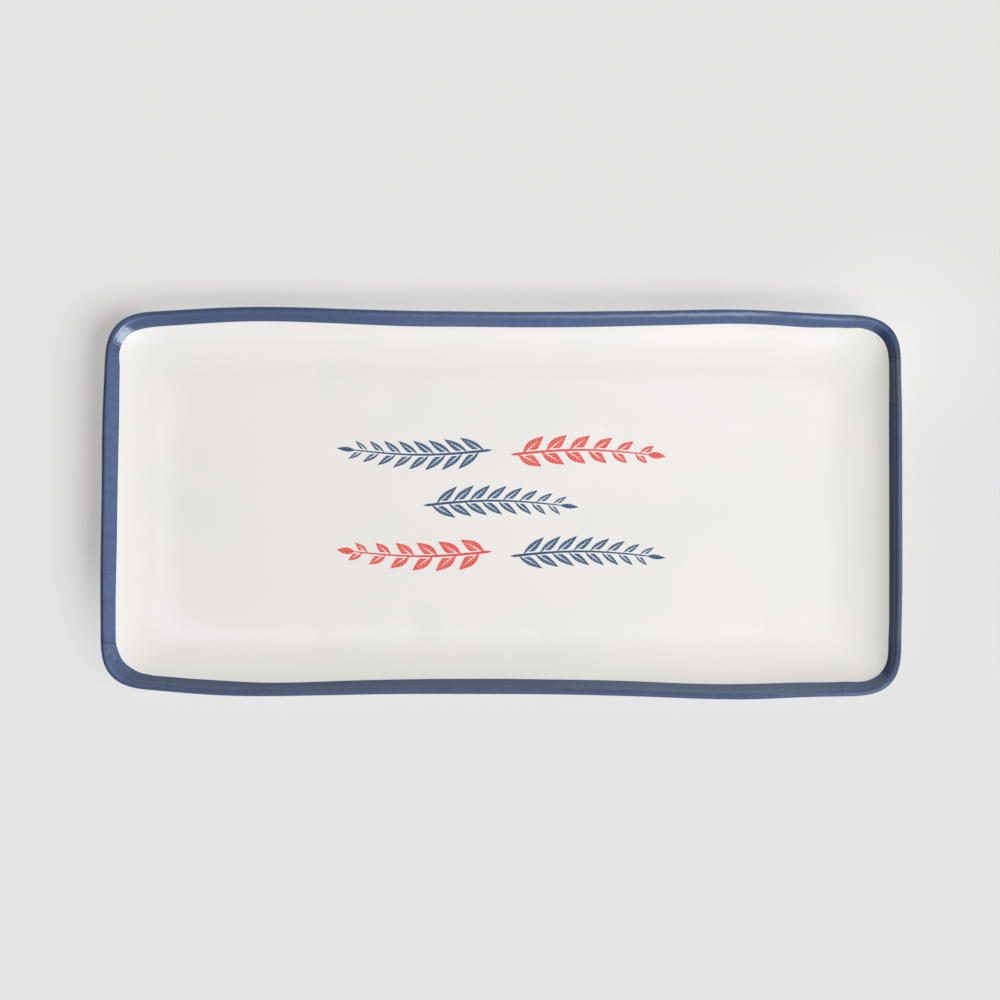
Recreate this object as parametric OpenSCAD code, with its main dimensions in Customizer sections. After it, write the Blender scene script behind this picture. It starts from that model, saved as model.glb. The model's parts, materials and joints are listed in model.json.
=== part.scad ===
// Oblong serving platter with a softly waved edge, moulded in one piece.
// A thin printed foil is moulded onto its face: a pale field, a coloured border
// whose flaps meet at hairline seams beside the corners, and five printed sprigs.
// +X runs along the platter, +Y to its back edge, and the table is at Z = 0.

/* [Body] */
// Overall length
length = 390; // [330:1:450]
// Overall width
width = 191; // [165:1:220]
// Height from the table to the top of the lip
height = 18; // [16:0.5:22]
// Thickness of the wall and the floor, foil included
wall_t = 3.6; // [3:0.1:4.5]
// Reach of a corner of the outline along each side
corner_r = 27; // [22:0.5:32]
// Distance in plan from the outer edge to the flat floor
wall_run = 38; // [32:1:45]
// Slope of the wall where it meets the lip, in degrees
lip_slope = 52; // [46:1:56]
// Reach of a corner of the flat floor along each side
floor_r = 34; // [28:1:40]

/* [Waved edge] */
// Rise of the swell on the left of the back edge
swell_back_left = 2.6; // [0:0.1:4]
// Rise of the swell on the right of the back edge
swell_back_right = 1.4; // [0:0.1:4]
// Rise of the swell on the left of the front edge
swell_front_left = 1.6; // [0:0.1:4]
// Rise of the swell on the right of the front edge
swell_front_right = 2.6; // [0:0.1:4]
// How far the back left corner is drawn in from the back
tuck_back_left = 1; // [0:0.1:5]
// How far the back right corner is drawn in from the back
tuck_back_right = 3.1; // [0:0.1:5]
// How far the front left corner is drawn in from the front
tuck_front_left = 3.5; // [0:0.1:5]
// How far the front right corner is drawn in from the front
tuck_front_right = 0.3; // [0:0.1:5]
// How far the left side leans in towards the back
lean_left = 2.8; // [0:0.1:5]
// How far the right side leans in towards the back
lean_right = 0.4; // [0:0.1:5]

/* [Foot ring] */
// Height of the foot ring below the floor
foot_h = 2.2; // [1.6:0.1:3]
// Width of the flat face that the platter stands on
foot_w = 3.4; // [2.5:0.1:5]
// Distance in plan from the edge of the flat floor in to the foot ring
foot_set = 4; // [2:0.5:7]
// Draft of each side of the foot ring
foot_draft = 0.8; // [0.4:0.1:1.2]
// Radius between the sides of the foot ring and its flat face
foot_edge_r = 0.5; // [0.3:0.1:0.9]

/* [Foil] */
// Thickness of the foil
foil_t = 0.3; // [0.2:0.05:0.5]
// Width of the coloured border, seen from above
border_w = 7.3; // [6:0.1:9]
// How far round the lip the border reaches from its crest, in degrees
border_wrap = 100; // [90:1:115]

/* [Sprigs] */
// Length of a sprig
sprig_len = 76; // [60:1:95]
// Gap between the two sprigs of a row
sprig_gap = 9; // [4:0.5:20]
// Gap between the rows
row_gap = 8; // [4:0.5:14]
// Rise of the arched stem
stem_bow = 2.4; // [0:0.1:4]
// Width of the stem at its foot
stem_w = 1.3; // [0.8:0.1:2]
// Angle between a leaf and the stem, in degrees
leaf_angle = 36; // [25:1:50]
// Bare gap between the stem and the half of a leaf that faces it
leaf_gap = 0.6; // [0.4:0.05:1]
// Length of a narrow leaf
narrow_leaf_len = 13; // [9:0.5:16]
// Length of a broad leaf
broad_leaf_len = 12.5; // [9:0.5:16]
// Width of the bare rib along a leaf
rib_w = 0.5; // [0.3:0.05:0.9]

/* [Hidden] */

cream = "#f1ede8";
pale = "#f4f1ec";
border_blue = "#3f5884";
print_navy = "#2f4f75";
print_coral = "#dc4c43";

// Steps along the outline round a corner, on a long side and on a short side
corner_steps = 12;
long_steps = 15;
short_steps = 7;
// Steps of the wall below the border and under it
wall_steps = 8;
border_steps = 2;
// Steps of the lip inside its crest, from there to its outermost line, and below the border
inner_lip_steps = 2;
outer_lip_steps = 4;
under_lip_steps = 2;
foot_edge_steps = 2;

// Corners are numbered anticlockwise from the back right, and side k follows corner k.
// The seams lie at these shares of half a corner's arc, before and after its middle.
seam_before_shares = [0.65, 1.27, 0.75, 1.1];
seam_after_shares = [0.65, 0.4, 1.25, 0.7];
// A corner is a quarter of a superellipse of this power, which is fuller than an arc.
corner_power = 3;
// The wall climbs by the lower of these powers of the way from the floor, and flares by the higher.
wall_power = 2.3;
flare_power = 8;
// The swells are centred at, and reach over, these shares of half the length.
swell_place_share = 0.61;
swell_reach_share = 0.45;
// The corners are drawn in, and the sides lean, by these powers of the way along each side.
tuck_power = 3;
lean_power = 2;

// Narrow-leaved sprigs are navy, and broad-leaved ones are coral.
narrow_pairs = 8;
broad_pairs = 6;
stem_steps = 10;
leaf_steps = 10;
// Shares along the stem of its first and last pair of leaves, and the lag of the lower leaf.
first_pair_share = 0.1;
last_pair_share = 0.93;
pair_lag_share = 0.035;
// Shares that the stem and the leaves keep of their size at the tip of the sprig.
stem_tip_share = 0.45;
leaf_tip_share = 0.6;
// Shares of the room between two leaves' middle lines that the wider leaf fills.
narrow_leaf_share = 0.8;
broad_leaf_share = 0.82;
// Shares of a leaf's length where its bare rib starts to taper and ends.
rib_taper_share = 0.4;
rib_end_share = 0.84;
// The fullest part of a leaf lies nearer its foot the lower this power is.
leaf_power = 0.85;

half_l = length / 2;
half_w = width / 2;
half_arc = corner_r * PI / 4;
runs = [length - 2 * corner_r, width - 2 * corner_r, length - 2 * corner_r, width - 2 * corner_r];
signs = [[1, 1], [-1, 1], [-1, -1], [1, -1]];
side_steps = [long_steps, short_steps, long_steps, short_steps];

lip_r = wall_t / 2;
floor_z = foot_h + wall_t;
climb = height - lip_r * (1 - cos(lip_slope)) - floor_z;
reach = wall_run - lip_r * (1 + sin(lip_slope));
// The flare's share of the climb is the one that gives the wall its slope at the lip.
flare_share = (tan(lip_slope) * reach / climb - wall_power) / (flare_power - wall_power);
border_start = (wall_run - border_w) / reach;
lip_end = 180 - lip_slope;

function mix(a, b, s) = a + (b - a) * s;
function clamp(s) = min(1, max(0, s));
function ease(s) = clamp(s) * clamp(s) * (3 - 2 * clamp(s));
function wrap(k) = (k + 4) % 4;
function degrees(radians) = radians * 180 / PI;
function flipped(faces) = [for (f = faces) [f[2], f[1], f[0]]];

// A ring is [inset, keep, grow, height]. Its corners reach as far as the outline's where keep is 1
// and as far as the floor's where keep is 0, and grow more. It takes the share keep of the wave too.
function ring_r(ring) = mix(floor_r, corner_r, ring[1]) + ring[2];
outline = [0, 1, 0, 0];

// A point on corner k. The angle runs from 0 where the corner starts to 90 where it ends.
function corner_point(k, angle, ring) =
    let (r = ring_r(ring),
         swollen = pow(pow(abs(cos(angle)), corner_power) + pow(abs(sin(angle)), corner_power), -1 / corner_power),
         heading = 90 * k + angle)
    [signs[k][0] * (half_l - ring[0] - r) + r * swollen * cos(heading),
     signs[k][1] * (half_w - ring[0] - r) + r * swollen * sin(heading)];

// A station is a distance along the outline, past the middle of the back right corner.
middles = [0, 2 * half_arc + runs[0], 4 * half_arc + runs[0] + runs[1], 6 * half_arc + runs[0] + runs[1] + runs[2]];
lap = middles[3] + 2 * half_arc + runs[3];
function middle(k) = k < 0 ? middles[3] - lap : k > 3 ? lap : middles[k];

// The corner that a station from -half_arc to lap - half_arc follows.
function corner_before(s) =
    s < middles[1] - half_arc ? 0 : s < middles[2] - half_arc ? 1 : s < middles[3] - half_arc ? 2 : 3;
function within_lap(s) = s < -half_arc ? s + lap : s < lap - half_arc ? s : s - lap;

// The place of a station on a ring, without the wave.
function plan_point(s, ring) =
    let (on_lap = within_lap(s), k = corner_before(on_lap), past = on_lap - middles[k], past_arc = past - half_arc)
    past_arc <= 0 ? corner_point(k, 45 + degrees(past / corner_r), ring) :
    mix(corner_point(k, 90, ring), corner_point(wrap(k + 1), 0, ring), past_arc / runs[k]);

// Even steps along the outline.
function steps_from(k) =
    concat([for (i = [0 : corner_steps - 1]) middle(k) + half_arc * (2 * i / corner_steps - 1)],
           [for (i = [0 : side_steps[wrap(k)] - 1]) middle(k) + half_arc + runs[wrap(k)] * i / side_steps[wrap(k)]]);
even_stations = [for (k = [-1 : 4]) each steps_from(k)];

// Seams 2k and 2k + 1 lie before and after the middle of corner k. Flap i runs from seam i to the next.
function seam(i) =
    let (k = floor(i / 2))
    middle(k) + half_arc * (i % 2 == 0 ? -seam_before_shares[wrap(k)] : seam_after_shares[k]);
function flap(i) =
    let (start = seam(i), finish = seam(i + 1), near = half_arc / corner_steps)
    concat([start], [for (s = even_stations) if (s > start + near && s < finish - near) s], [finish]);
flaps = [for (i = [0 : 7]) flap(i)];

// All the way round, each station once.
round_stations = [for (f = flaps) each [for (j = [0 : len(f) - 2]) f[j]]];

// A swell is a raised cosine along the edge.
function swell(x, place, rise) =
    let (d = (x - place) / (swell_reach_share * half_l))
    abs(d) < 1 ? rise * pow(cos(90 * d), 2) : 0;
function long_edge(x, rise_left, rise_right, tuck_left, tuck_right) =
    swell(x, -swell_place_share * half_l, rise_left)
    + swell(x, swell_place_share * half_l, rise_right)
    - (x < 0 ? tuck_left : tuck_right) * pow(abs(x) / half_l, tuck_power);
function back_edge(x) = long_edge(x, swell_back_left, swell_back_right, tuck_back_left, tuck_back_right);
function front_edge(x) = long_edge(x, swell_front_left, swell_front_right, tuck_front_left, tuck_front_right);

// The edges' outermost points lie on the sides of the plain rounded rectangle.
outline_x = [for (s = round_stations) plan_point(s, outline)[0]];
back_most = max([for (x = outline_x) back_edge(x)]);
front_most = max([for (x = outline_x) front_edge(x)]);

// How far the waved edge lies from the plain rounded rectangle, at a point of that rectangle.
function edge_shift(p) =
    let (back_share = (1 + p[1] / half_w) / 2,
         left_share = (1 - p[0] / half_l) / 2,
         lean = pow(max(0, p[1] + half_w - corner_r) / (width - corner_r), lean_power))
    [lean * mix(-lean_right, lean_left, left_share),
     mix(front_most - front_edge(p[0]), back_edge(p[0]) - back_most, back_share)];

function ring_points(ring, stations) =
    [for (s = stations)
        let (p = plan_point(s, ring) + edge_shift(plan_point(s, outline)) * ring[1])
        [p[0], p[1], ring[3]]];

// Below the border the wave fades and the corners open out to the floor's own radius.
function fade(inset) = 1 - ease((inset - border_w) / (wall_run - border_w));

// The wall's height above the floor and its slope, from t = 0 at the floor to t = 1 at the lip.
function wall_rise(t) = climb * mix(pow(t, wall_power), pow(t, flare_power), flare_share);
function wall_slope(t) =
    let (early = wall_power * pow(t, wall_power - 1), late = flare_power * pow(t, flare_power - 1))
    atan(mix(early, late, flare_share) * climb / reach);

// Rings of the wall, at a depth below its face.
function wall_ring(t, depth) =
    let (inset = wall_run - reach * t,
         keep = fade(inset),
         out = depth * sin(wall_slope(t)))
    [inset - out, keep, out - min(inset, border_w) * keep, floor_z + wall_rise(t) - depth * cos(wall_slope(t))];
// Rings of the round lip, at an angle outwards from its crest.
function lip_ring(angle, depth) =
    let (inset = lip_r - (lip_r - depth) * sin(angle))
    [inset, 1, -inset, height - lip_r + (lip_r - depth) * cos(angle)];
// Rings of the foot, at a distance inwards from its outer root.
function foot_ring(way, z) = [wall_run + foot_set + way, 0, -foot_set - way, z];

// Rings below the border, then those under the border and over the lip.
function field_rings(depth) = [for (i = [0 : wall_steps]) wall_ring(border_start * i / wall_steps, depth)];
function border_rings(depth) =
    concat([for (i = [0 : border_steps - 1]) wall_ring(mix(border_start, 1, i / border_steps), depth)],
           [for (i = [inner_lip_steps : -1 : 1]) lip_ring(-lip_slope * i / inner_lip_steps, depth)],
           [for (i = [0 : outer_lip_steps]) lip_ring(90 * i / outer_lip_steps, depth)],
           [lip_ring(border_wrap, depth)]);
function underside_rings() =
    concat([for (i = [0 : under_lip_steps - 1]) lip_ring(mix(border_wrap, lip_end, i / under_lip_steps), 0)],
           [for (i = [wall_steps : -1 : 0]) wall_ring(i / wall_steps, wall_t)]);
function foot_edge(from) =
    [for (i = [0 : foot_edge_steps])
        let (angle = from + 90 * i / foot_edge_steps)
        [foot_edge_r * cos(angle), foot_edge_r * (1 + sin(angle))]];
function foot_rings() =
    let (outer = foot_draft + foot_edge_r, inner = outer + foot_w)
    concat([foot_ring(0, foot_h)],
           [for (p = foot_edge(180)) foot_ring(outer + p[0], p[1])],
           [for (p = foot_edge(270)) foot_ring(inner + p[0], p[1])],
           [foot_ring(inner + outer, foot_h)]);

// Triangles between the ring of n points that starts at index a and the one that starts at b.
function strip(a, b, n, closed) =
    [for (i = [0 : (closed ? n : n - 1) - 1])
        let (j = (i + 1) % n)
        each [[a + i, a + j, b + j], [a + i, b + j, b + i]]];
function strips(first, count, n, closed) =
    [for (r = [0 : count - 2]) each strip(first + r * n, first + (r + 1) * n, n, closed)];
function points_of(rings, stations) = [for (ring = rings) each ring_points(ring, stations)];

// A fan of triangles from one middle point to the ring of n points that starts at index a.
function fan(middle, a, n) = [for (i = [0 : n - 1]) [middle, a + (i + 1) % n, a + i]];

// A solid that follows its rings from the middle of its top face round to the middle of its underside.
module loft(rings) {
    n = len(round_stations);
    m = len(rings);
    polyhedron(concat(points_of(rings, round_stations), [[0, 0, rings[0][3]], [0, 0, rings[m - 1][3]]]),
               concat(fan(m * n, 0, n),
                      strips(0, m, n, true),
                      flipped(fan(m * n + 1, (m - 1) * n, n))));
}

// A closed band of sheet round the whole platter, given as its top and underside rings.
module round_sheet(top, under) {
    n = len(round_stations);
    m = len(top);
    polyhedron(concat(points_of(top, round_stations), points_of(under, round_stations)),
               concat(strips(0, m, n, true),
                      strip((m - 1) * n, (2 * m - 1) * n, n, true),
                      flipped(strips(m * n, m, n, true)),
                      flipped(strip(0, m * n, n, true))));
}

// A strip of sheet along some stations, closed at both ends.
module flap_sheet(top, under, stations) {
    n = len(stations);
    m = len(top);
    first_end = [for (r = [0 : m - 2])
        let (t = r * n, u = (m + r) * n)
        each [[t, t + n, u + n], [t, u + n, u]]];
    last_end = [for (f = flipped(first_end)) [for (i = f) i + n - 1]];
    polyhedron(concat(points_of(top, stations), points_of(under, stations)),
               concat(strips(0, m, n, false),
                      flipped(strips(m * n, m, n, false)),
                      flipped(strip(0, m * n, n, false)),
                      flipped(strip((2 * m - 1) * n, (m - 1) * n, n, false)),
                      first_end, last_end));
}

module platter_body() {
    color(cream)
        loft(concat(field_rings(foil_t), border_rings(foil_t), underside_rings(), foot_rings()));
}

module border_flap(i) {
    color(border_blue)
        flap_sheet(border_rings(0), border_rings(foil_t), flaps[i]);
}

// The stem is an arch. It is given by the share of the way from its foot to its tip.
function stem_run(leaf_len) = sprig_len - leaf_len * leaf_tip_share;
function stem_point(s, run) = [-sprig_len / 2 + run * s, stem_bow * sin(180 * s)];
function stem_heading(s, run) = atan2(stem_bow * PI * cos(180 * s), run);
function stem_half(s) = stem_w / 2 * mix(1, stem_tip_share, s);

module stem_shape(run) {
    shares = [for (i = [0 : stem_steps]) i / stem_steps];
    polygon([for (side = [1, -1]) for (i = [0 : stem_steps])
        let (s = shares[side > 0 ? i : stem_steps - i])
        stem_point(s, run) + [0, side * stem_half(s)]]);
}

// A leaf runs along +X from its foot. Its two edges are half waves that are fullest near the foot.
module leaf_blade(leaf_len, leaf_w) {
    polygon([for (side = [1, -1]) for (i = [0 : leaf_steps - 1])
        let (s = (side > 0 ? i : leaf_steps - i) / leaf_steps)
        [leaf_len * s, side * leaf_w / 2 * sin(180 * pow(s, leaf_power))]]);
}

// A leaf that starts at the far edge of the stem. The stem's middle line passes through the origin,
// at leaf_angle to the leaf. A bare rib runs down the leaf and out past the half that faces the stem.
module leaf_shape(leaf_len, leaf_w, half) {
    along = [cos(leaf_angle), -sin(leaf_angle)];
    away = [sin(leaf_angle), cos(leaf_angle)];
    clear = half + leaf_gap;
    difference() {
        translate([-half / sin(leaf_angle), 0])
            leaf_blade(leaf_len + half / sin(leaf_angle), leaf_w);
        polygon([[leaf_len * rib_end_share, 0],
                 [leaf_len * rib_taper_share, rib_w / 2],
                 [0, rib_w / 2],
                 along * leaf_len,
                 along * leaf_len + away * clear,
                 [(clear + rib_w / 2 * cos(leaf_angle)) / sin(leaf_angle), -rib_w / 2],
                 [leaf_len * rib_taper_share, -rib_w / 2]]);
    }
}

// A stem, pairs of leaves that shrink towards its tip, and one leaf at the tip.
module sprig_shape(pairs, leaf_len, leaf_share) {
    run = stem_run(leaf_len);
    pitch = run * (last_pair_share - first_pair_share) / (pairs - 1);
    leaf_w = pitch * sin(leaf_angle) * leaf_share;
    stem_shape(run);
    translate(stem_point(1, run) - [stem_w, 0])
        rotate(stem_heading(1, run))
            leaf_blade(leaf_len * leaf_tip_share + stem_w, leaf_w * leaf_tip_share);
    for (i = [0 : pairs - 1]) for (side = [1, -1]) {
        way = i / (pairs - 1);
        s = mix(first_pair_share, last_pair_share, way) + (side > 0 ? 0 : -pair_lag_share);
        size = mix(1, leaf_tip_share, way * way);
        translate(stem_point(s, run))
            rotate(stem_heading(s, run) + side * leaf_angle)
                mirror([0, side > 0 ? 0 : 1])
                    leaf_shape(leaf_len * size, leaf_w * size, stem_half(s));
    }
}

module narrow_sprig() sprig_shape(narrow_pairs, narrow_leaf_len, narrow_leaf_share);
module broad_sprig() sprig_shape(broad_pairs, broad_leaf_len, broad_leaf_share);

sprig_h = 2 * (max(narrow_leaf_len, broad_leaf_len) + stem_w) * sin(leaf_angle);
column = (sprig_len + sprig_gap) / 2;
row = sprig_h + row_gap;

// Places a printed shape at a column and a row of the group, turned by an angle.
module placed(across, up, turn)
    translate([across * column, up * row])
        rotate(turn)
            translate([0, -stem_bow / 2])
                children();

module back_left_print() placed(-1, 1, 180) narrow_sprig();
module back_right_print() placed(1, 1, 0) broad_sprig();
module centre_print() placed(0, 0, 0) narrow_sprig();
module front_left_print() placed(-1, -1, 180) broad_sprig();
module front_right_print() placed(1, -1, 0) narrow_sprig();

// Lays a flat shape into the thickness of the foil on the floor.
module inlay()
    translate([0, 0, floor_z - foil_t])
        linear_extrude(foil_t)
            children();

module field_foil() {
    color(pale) {
        round_sheet(field_rings(0), field_rings(foil_t));
        inlay()
            difference() {
                polygon([for (p = ring_points(wall_ring(0, 0), round_stations)) [p[0], p[1]]]);
                back_left_print();
                back_right_print();
                centre_print();
                front_left_print();
                front_right_print();
            }
    }
}

platter_body();
field_foil();
border_flap(0);  // border_back_right
border_flap(1);  // border_back
border_flap(2);  // border_back_left
border_flap(3);  // border_left
border_flap(4);  // border_front_left
border_flap(5);  // border_front
border_flap(6);  // border_front_right
border_flap(7);  // border_right
color(print_navy) inlay() back_left_print();  // sprig_back_left
color(print_coral) inlay() back_right_print();  // sprig_back_right
color(print_navy) inlay() centre_print();  // sprig_centre
color(print_coral) inlay() front_left_print();  // sprig_front_left
color(print_navy) inlay() front_right_print();  // sprig_front_right
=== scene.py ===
import json
import math
import bpy
import numpy as np
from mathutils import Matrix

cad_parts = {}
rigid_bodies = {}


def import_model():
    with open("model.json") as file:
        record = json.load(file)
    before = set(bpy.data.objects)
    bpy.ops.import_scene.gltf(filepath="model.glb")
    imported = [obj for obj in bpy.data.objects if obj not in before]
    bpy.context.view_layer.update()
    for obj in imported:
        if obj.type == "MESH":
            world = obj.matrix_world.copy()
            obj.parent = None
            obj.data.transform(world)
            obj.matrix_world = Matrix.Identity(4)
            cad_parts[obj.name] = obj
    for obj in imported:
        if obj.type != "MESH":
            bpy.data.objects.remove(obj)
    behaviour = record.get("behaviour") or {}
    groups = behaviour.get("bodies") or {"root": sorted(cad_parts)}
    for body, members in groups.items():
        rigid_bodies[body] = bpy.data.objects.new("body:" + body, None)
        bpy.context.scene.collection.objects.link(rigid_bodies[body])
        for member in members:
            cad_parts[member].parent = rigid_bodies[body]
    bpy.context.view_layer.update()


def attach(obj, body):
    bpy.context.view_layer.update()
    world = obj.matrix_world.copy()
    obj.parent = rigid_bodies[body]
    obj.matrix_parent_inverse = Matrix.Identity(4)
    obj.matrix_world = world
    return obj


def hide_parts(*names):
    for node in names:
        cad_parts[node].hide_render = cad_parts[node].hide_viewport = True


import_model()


# The camera hangs straight above the platter, with a long lens, so that no outer wall shows.
# The picture is as wide as 486.4 mm at the lip, and the platter lies a little below its middle.
scene = bpy.context.scene


def new_object(name, data):
    """An object with that camera, mesh or lamp, in the scene."""
    made = bpy.data.objects.new(name, data)
    scene.collection.objects.link(made)
    return made


camera_height = 2.4
picture_width = 0.4864
camera_data = bpy.data.cameras.new("camera_above")
camera_data.sensor_width = 36.0
camera_data.lens = 36.0 * camera_height / picture_width
camera_data.clip_start = 0.1
camera_data.clip_end = 20.0
camera = new_object("camera_above", camera_data)
camera.location = (-0.0006, 0.0015, 0.018 + camera_height)
scene.camera = camera
scene.view_settings.view_transform = "Standard"


# The body is one pressed moulding of cream melamine: a flat floor, walls that curve up to a round
# lip, and a low foot ring underneath. Its outline is a rounded oblong drawn into soft waves.
# Sizes are in millimetres, and a mesh gets its points in metres.
MM = 0.001
LENGTH, WIDTH, HEIGHT, WALL = 390.0, 191.0, 18.0, 3.6
CORNER, FLOOR_CORNER, RUN, BORDER = 27.0, 34.0, 38.0, 7.3
FOOT_HEIGHT, FOOT_WIDTH, FOOT_SET, FOOT_DRAFT, FOOT_ROUND = 2.2, 3.4, 4.0, 0.8, 0.5
FOIL = 0.3
LIP = WALL / 2
LIP_SLOPE = math.radians(52)
FLOOR_Z = FOOT_HEIGHT + WALL
CLIMB = HEIGHT - LIP * (1 - math.cos(LIP_SLOPE)) - FLOOR_Z
REACH = RUN - LIP * (1 + math.sin(LIP_SLOPE))
RISE_POWER, FLARE_POWER = 2.3, 8
FLARE = (math.tan(LIP_SLOPE) * REACH / CLIMB - RISE_POWER) / (FLARE_POWER - RISE_POWER)
# Corners are numbered anticlockwise from the back right one. Places round the lap are distances along the
# plain oblong from that corner's middle, with each corner counted as a quarter circle.
HALF_ARC = CORNER * math.pi / 4
SIDES = np.array([LENGTH, WIDTH, LENGTH, WIDTH]) - 2 * CORNER
MIDDLES = np.concatenate([[0.0], np.cumsum(2 * HALF_ARC + SIDES)])
LAP = MIDDLES[4]
SIGN_X, SIGN_Y = np.array([1, -1, -1, 1]), np.array([1, 1, -1, -1])


def corner_place(k, angle, inset, reach):
    """Corner k of the oblong set in by inset: a quarter of a superellipse of power 3, of that reach."""
    heading = angle + k * math.pi / 2
    full = (np.abs(np.cos(angle)) ** 3 + np.abs(np.sin(angle)) ** 3) ** (-1 / 3) * reach
    x = SIGN_X[k] * (LENGTH / 2 - inset - reach) + full * np.cos(heading)
    y = SIGN_Y[k] * (WIDTH / 2 - inset - reach) + full * np.sin(heading)
    return x, y


def plan(s, inset, keep, grow):
    """The oblong set in by inset, at the places s: corners joined by straight runs. The corners' reach
    goes from the floor's, where keep is 0, to the outline's, where it is 1, and grows by grow."""
    reach = FLOOR_CORNER + (CORNER - FLOOR_CORNER) * keep + grow
    on_lap = np.mod(s + HALF_ARC, LAP) - HALF_ARC
    k = np.clip(np.searchsorted(MIDDLES - HALF_ARC, on_lap, side="right") - 1, 0, 3)
    past = on_lap - MIDDLES[k]
    angle = np.clip(math.pi / 4 + past / CORNER, 0, math.pi / 2)
    share = np.clip(past - HALF_ARC, 0, None) / SIDES[k]
    x, y = corner_place(k, angle, inset, reach)
    next_x, next_y = corner_place((k + 1) % 4, 0.0, inset, reach)
    return x + (next_x - x) * share, y + (next_y - y) * share


# Each long edge's left and right swell: its middle and its reach, as shares of half the length, how far
# it rises, and how far the corner is tucked in.
SWELL_PLACE, SWELL_REACH = 0.61, 0.45
BACK_RISES, BACK_TUCKS = (2.6, 1.4), (1.0, 3.1)
FRONT_RISES, FRONT_TUCKS = (1.6, 2.6), (3.5, 0.3)
# How far the two ends lean in towards the back, and how much further out the left one stands.
LEFT_LEAN, RIGHT_LEAN, LEFT_OUT = 2.8, 0.4, 0.35


def long_edge(x, rises, tucks):
    """Two raised cosines, less a cube of the way out to each end."""
    away = np.abs(x[..., None] + np.array([1, -1]) * SWELL_PLACE * LENGTH / 2) / (SWELL_REACH * LENGTH / 2)
    swells = (np.cos(np.clip(away, 0, 1) * math.pi / 2) ** 2 * np.array(rises)).sum(-1)
    return swells - np.where(x < 0, tucks[0], tucks[1]) * np.abs(x / (LENGTH / 2)) ** 3


# Small swells and hollows of the edge: places round the lap, and how far the edge stands out there.
EDGE_STOPS = [(0, 0.5), (38, -0.1), (74, 0.4), (110, 0.15), (140, 0.27), (180, 0.08), (232, 0.45),
              (280, 0.05), (320, 0.13), (355, 0.03), (372, 0.1), (390, -0.3), (428, 0.18), (468, -0.17),
              (505, -0.04), (540, -0.25), (570, -0.18), (611, 0.43), (662, -0.13), (684, -0.13),
              (715, 0.03), (750, 0.04), (797, 0.45), (830, 0.16), (862, 0.13), (892, -0.3), (929, 0.6),
              (950, -0.2), (990, 0.38), (1070, 0.42), (1098, 0.02)]


def between_stops(s, stops):
    """Half cosines from stop to stop round the lap, which is closed from the last stop to the first."""
    ring = np.array(stops + [(LAP, stops[0][1])])
    on_lap = np.mod(s, LAP)
    k = np.clip(np.searchsorted(ring[:, 0], on_lap, side="right") - 1, 0, len(ring) - 2)
    share = (on_lap - ring[k, 0]) / (ring[k + 1, 0] - ring[k, 0])
    return ring[k, 1] + (ring[k + 1, 1] - ring[k, 1]) * (1 - np.cos(math.pi * share)) / 2


def small_swell(s):
    """The small swells' shift, square to the plain oblong's edge: a quarter turn from the step along it."""
    ahead_x, ahead_y = plan(s + 0.5, 0.0, 1.0, 0.0)
    behind_x, behind_y = plan(s - 0.5, 0.0, 1.0, 0.0)
    out = between_stops(s, EDGE_STOPS) / np.hypot(ahead_x - behind_x, ahead_y - behind_y)
    return out * (ahead_y - behind_y), out * (behind_x - ahead_x)


def wave(s):
    """How far the waved edge lies from the plain oblong: the long edges' waves, less their highest point,
    the ends' lean, a square of the way back, and the small swells."""
    x, y = plan(s, 0.0, 1.0, 0.0)
    swell_x, swell_y = small_swell(s)
    every_x = np.linspace(-LENGTH / 2, LENGTH / 2, 4001)
    back = long_edge(x, BACK_RISES, BACK_TUCKS) - long_edge(every_x, BACK_RISES, BACK_TUCKS).max()
    front = long_edge(x, FRONT_RISES, FRONT_TUCKS) - long_edge(every_x, FRONT_RISES, FRONT_TUCKS).max()
    back_share, left_share = (1 + y / (WIDTH / 2)) / 2, (1 - x / (LENGTH / 2)) / 2
    lean = (np.clip(y + WIDTH / 2 - CORNER, 0, None) / (WIDTH - CORNER)) ** 2
    end_shift = lean * ((LEFT_LEAN + RIGHT_LEAN) * left_share - RIGHT_LEAN) - LEFT_OUT * left_share
    return end_shift + swell_x, back * back_share - front * (1 - back_share) + swell_y


def rings(s, inset, keep, grow, z):
    """Points of rings round the platter: the plan, moved by a share of the wave, at each ring's height."""
    x, y = plan(s, inset, keep, grow)
    shift_x, shift_y = wave(s)
    x, y, z = np.broadcast_arrays(x + shift_x * keep, y + shift_y * keep, z)
    return np.stack([x, y, z], -1) * MM


def wall(s, t, depth=0.0):
    """The wall from t = 0 at the floor to t = 1 at the lip: its rise is t to the power 2.3, and a share
    of it t to the power 8, which brings it to the lip's slope. It keeps the whole wave in the border
    and none at the floor, by an S-curve. The depth is measured square to the face."""
    inset = RUN - REACH * t
    fade = np.clip((inset - BORDER) / (RUN - BORDER), 0, 1)
    keep = 1 - fade * fade * (3 - 2 * fade)
    rise = (1 - FLARE) * t ** RISE_POWER + FLARE * t ** FLARE_POWER
    steep = (1 - FLARE) * RISE_POWER * t ** (RISE_POWER - 1)
    steep = steep + FLARE * FLARE_POWER * t ** (FLARE_POWER - 1)
    slope = np.arctan(steep * CLIMB / REACH)
    out = depth * np.sin(slope)
    height = FLOOR_Z + CLIMB * rise - depth * np.cos(slope)
    return rings(s, inset - out, keep, out - np.minimum(inset, BORDER) * keep, height)


def lip(s, angle, depth=0.0):
    """The round lip, a circle whose angle is measured outwards from its crest."""
    inset = LIP - (LIP - depth) * np.sin(angle)
    return rings(s, inset, 1.0, -inset, HEIGHT - LIP + (LIP - depth) * np.cos(angle))


def foot(s, way, z):
    """Rings under the floor, at distances in from the foot ring's outer root."""
    return rings(s, RUN + FOOT_SET + way, 0.0, -FOOT_SET - way, z)


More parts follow.
